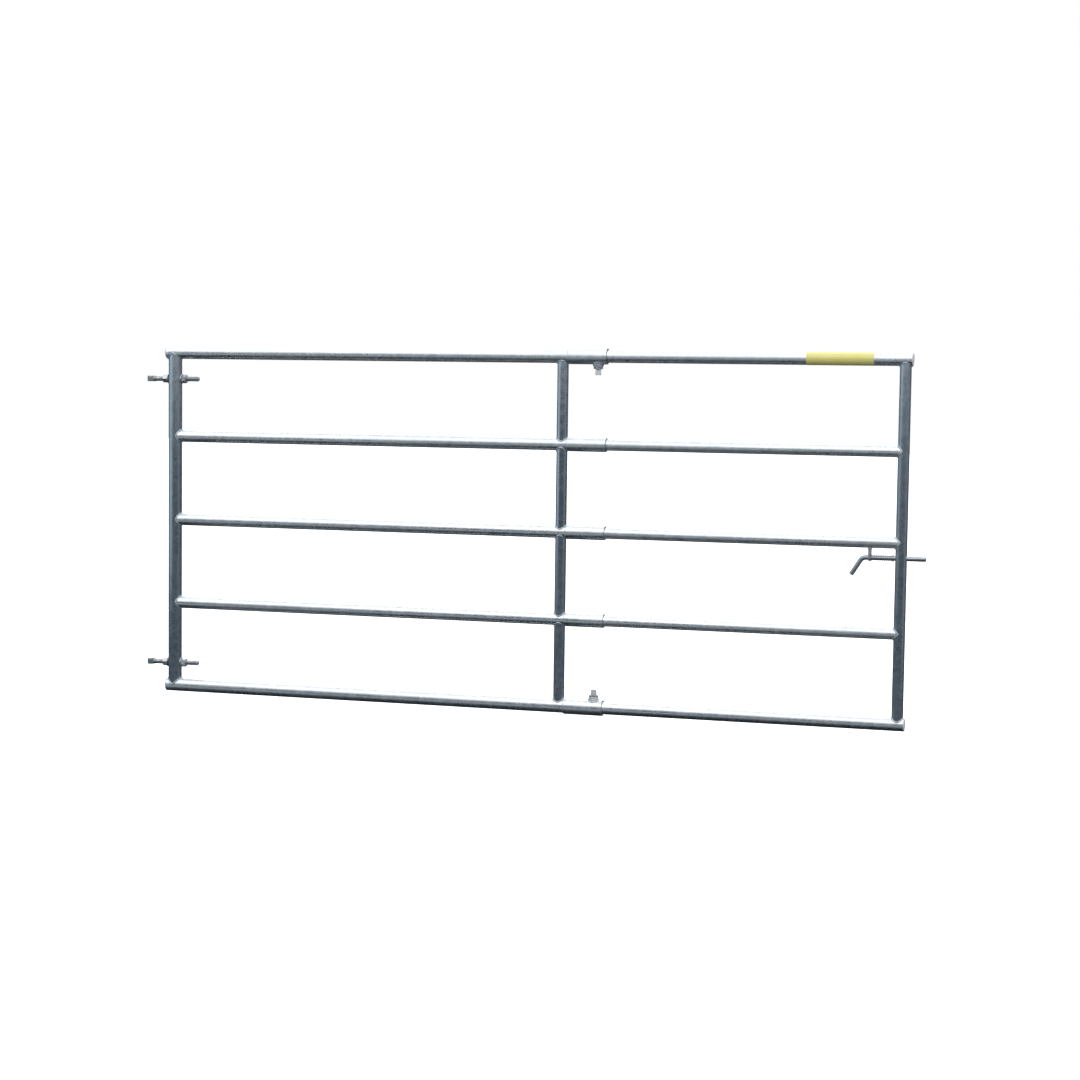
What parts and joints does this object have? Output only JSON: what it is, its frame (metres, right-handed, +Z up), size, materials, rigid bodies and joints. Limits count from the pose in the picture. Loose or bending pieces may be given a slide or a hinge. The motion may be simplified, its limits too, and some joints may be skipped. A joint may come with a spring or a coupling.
{
  "type": "extending livestock panel gate",
  "caption": "Tubular steel field gate that telescopes in length: fixed frame on adjustable hinge eyes, sliding frame with sprung latch bolt, clamped by set screws.",
  "frame": {"origin": "on the hinge axis, at the underside of the lower hinge eye", "axes": "+X from the hinge axis to the latch, +Y from the front of the gate to its back, +Z up along the hinge axis"},
  "size_m": [2.4627, 0.0484, 1.1039],
  "materials": {
    "galvanised_tube": "hot-dip galvanised, dull spangle",
    "zinc_hardware": "zinc plated, slightly worn",
    "latch_bar": "galvanised bar, rubbed where it slides",
    "spring_steel": "drawn spring wire, zinc plated",
    "plug_plastic": "moulded grey plastic",
    "label_vinyl": "blank satin vinyl"
  },
  "bodies": {
    "hinge_frame": {"bottom_guide_sleeve": "galvanised_tube", "bottom_hinge_end_plug": "plug_plastic", "bottom_lock_nut": "zinc_hardware", "fixed_bottom_rail": "galvanised_tube", "fixed_lower_rail": "galvanised_tube", "fixed_middle_rail": "galvanised_tube", "fixed_top_rail": "galvanised_tube", "fixed_upper_rail": "galvanised_tube", "hinge_stile": "galvanised_tube", "lower_guide_sleeve": "galvanised_tube", "lower_hinge_eye_bolt": "zinc_hardware", "lower_hinge_inner_nut": "zinc_hardware", "lower_hinge_inner_washer": "zinc_hardware", "lower_hinge_outer_nut": "zinc_hardware", "lower_hinge_outer_washer": "zinc_hardware", "middle_guide_sleeve": "galvanised_tube", "middle_upright_bottom": "galvanised_tube", "middle_upright_lower": "galvanised_tube", "middle_upright_top": "galvanised_tube", "middle_upright_upper": "galvanised_tube", "top_guide_sleeve": "galvanised_tube", "top_hinge_end_plug": "plug_plastic", "top_lock_nut": "zinc_hardware", "upper_guide_sleeve": "galvanised_tube", "upper_hinge_eye_bolt": "zinc_hardware", "upper_hinge_inner_nut": "zinc_hardware", "upper_hinge_inner_washer": "zinc_hardware", "upper_hinge_outer_nut": "zinc_hardware", "upper_hinge_outer_washer": "zinc_hardware"},
    "slide_frame": {"bottom_latch_end_plug": "plug_plastic", "label_band": "label_vinyl", "latch_lug": "galvanised_tube", "latch_spring": "spring_steel", "latch_stile": "galvanised_tube", "sliding_bottom_rail": "galvanised_tube", "sliding_lower_rail": "galvanised_tube", "sliding_middle_rail": "galvanised_tube", "sliding_top_rail": "galvanised_tube", "sliding_upper_rail": "galvanised_tube", "top_latch_end_plug": "plug_plastic"},
    "top_screw": {"top_lock_screw": "zinc_hardware"},
    "bottom_screw": {"bottom_lock_screw": "zinc_hardware"},
    "spring_seat": {"spring_washer": "zinc_hardware"},
    "bolt": {"latch_bolt": "latch_bar", "bolt_pin": "zinc_hardware"}
  },
  "joints": [
    {"name": "frame_slide", "type": "slide", "parent": "hinge_frame", "child": "slide_frame", "axis": [1, 0, 0], "range_m": [-0.78, 0.25]},
    {"name": "top_screw_travel", "type": "slide", "parent": "hinge_frame", "child": "top_screw", "axis": [0, 0, -1], "range_m": [0, 0.012]},
    {"name": "bottom_screw_travel", "type": "slide", "parent": "hinge_frame", "child": "bottom_screw", "axis": [0, 0, 1], "range_m": [0, 0.012]},
    {"name": "latch_travel", "type": "slide", "parent": "slide_frame", "child": "spring_seat", "axis": [1, 0, 0], "range_m": [-0.04, 0], "stiffness_N_per_m": 350, "springref_m": 0.03, "deforming": ["latch_spring"]},
    {"name": "latch_turn", "type": "hinge", "parent": "spring_seat", "child": "bolt", "pos_m": [2.358, 0, 0.4208], "axis": [1, 0, 0], "range_deg": [-135, 135]}
  ]
}
